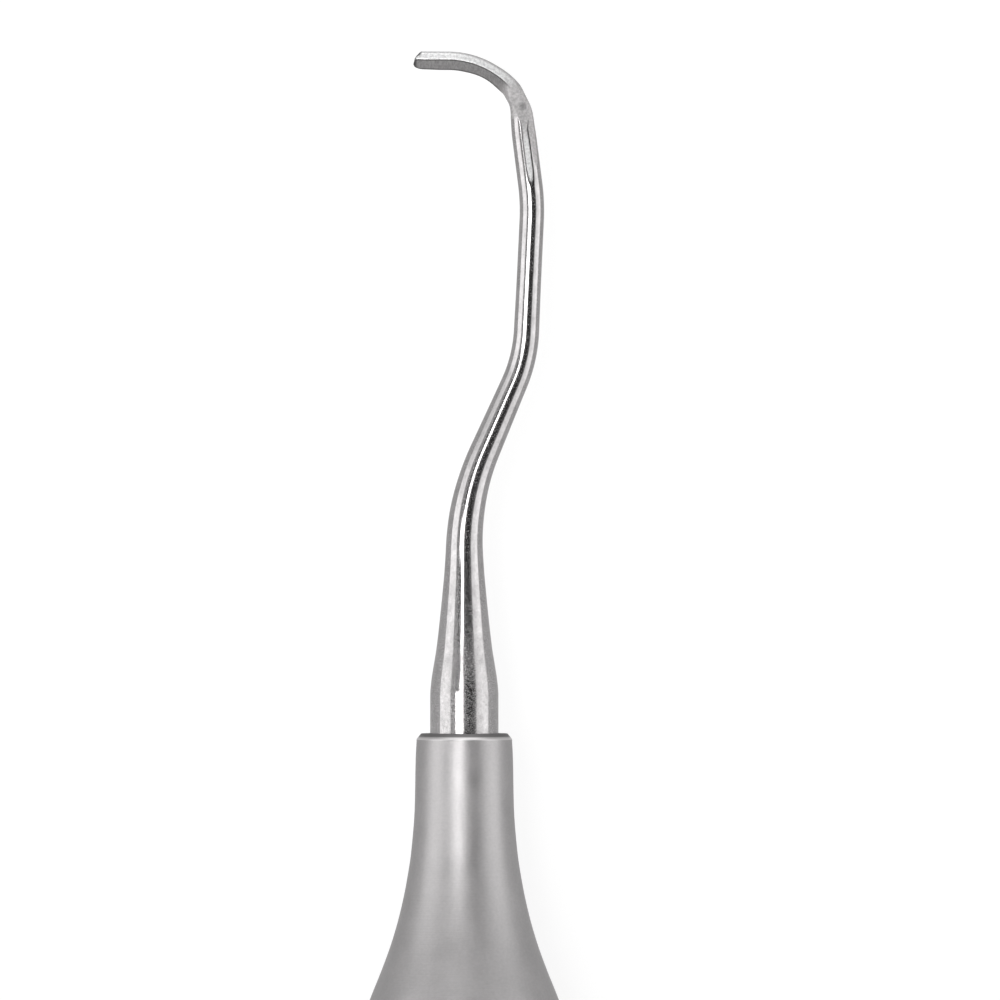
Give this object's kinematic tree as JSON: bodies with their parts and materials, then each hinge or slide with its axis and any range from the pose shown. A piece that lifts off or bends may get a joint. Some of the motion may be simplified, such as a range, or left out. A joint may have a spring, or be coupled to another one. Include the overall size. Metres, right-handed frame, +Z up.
{
  "type": "hand scaler",
  "caption": "Double-ended dental hand scaler: hollow steel handle, trumpet-shaped nose cones, thin bent shanks and small curved half-round blades.",
  "frame": {"origin": "under the middle of the handle, on the surface that the instrument lies on", "axes": "+Y along the handle towards working end A, +Z up, and the blades of the two ends point along -X and +X"},
  "size_m": [0.01, 0.174, 0.01],
  "materials": {
    "handle_steel": "satin",
    "nose_steel": "satin, turned",
    "tip_steel": "polished, ground at the blade",
    "seal": "matte"
  },
  "bodies": {
    "root": {"handle_barrel": "handle_steel", "nose_cone_a": "nose_steel", "nose_cone_b": "nose_steel", "working_end_a": "tip_steel", "working_end_b": "tip_steel", "seal_ring_a": "seal", "seal_ring_b": "seal"}
  },
  "joints": []
}
